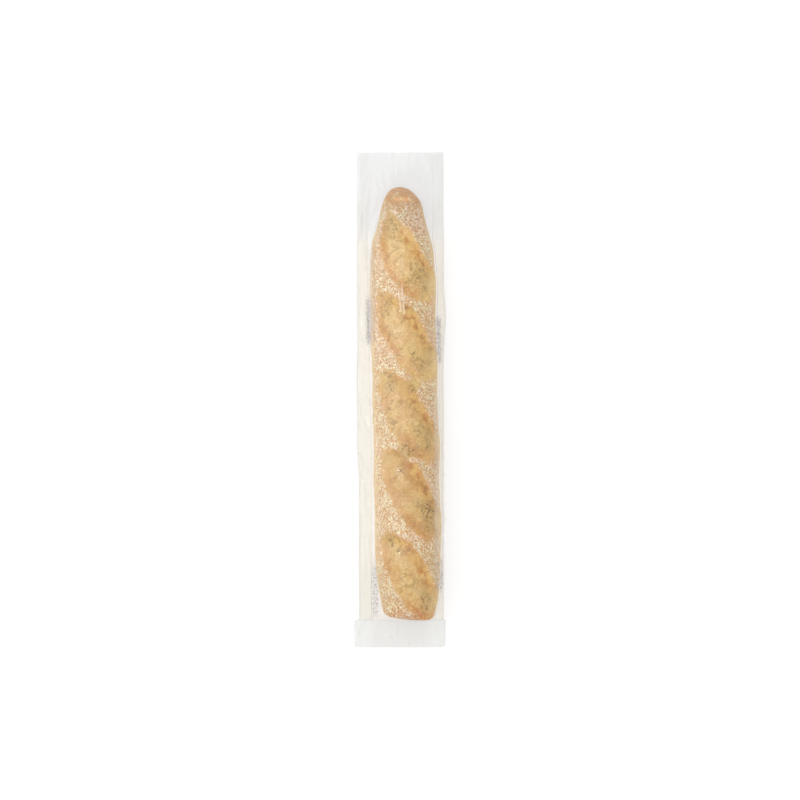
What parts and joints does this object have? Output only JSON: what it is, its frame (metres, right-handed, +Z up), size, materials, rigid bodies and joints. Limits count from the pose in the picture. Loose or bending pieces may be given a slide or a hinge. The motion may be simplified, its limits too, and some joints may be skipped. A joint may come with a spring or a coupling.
{
  "type": "baguette in a clear bread bag",
  "caption": "Scored golden baguette with one pointed and one blunt end, lying in a long clear side-gusseted film bag, sealed flat at one end and open at the other.",
  "frame": {"origin": "centre of the bag's footprint, on the surface that it lies on", "axes": "+Y along the loaf from its blunt end and the bag's seal to its pointed tip and the bag's open mouth, +Z up out of the scored top"},
  "size_m": [0.095, 0.513, 0.0478],
  "materials": {
    "crust": "baked golden crust with a soft egg-shell sheen",
    "clear_film": "clear glossy polypropylene film, finely crinkled"
  },
  "bodies": {
    "root": {"loaf": "crust", "bag": "clear_film"}
  },
  "joints": []
}
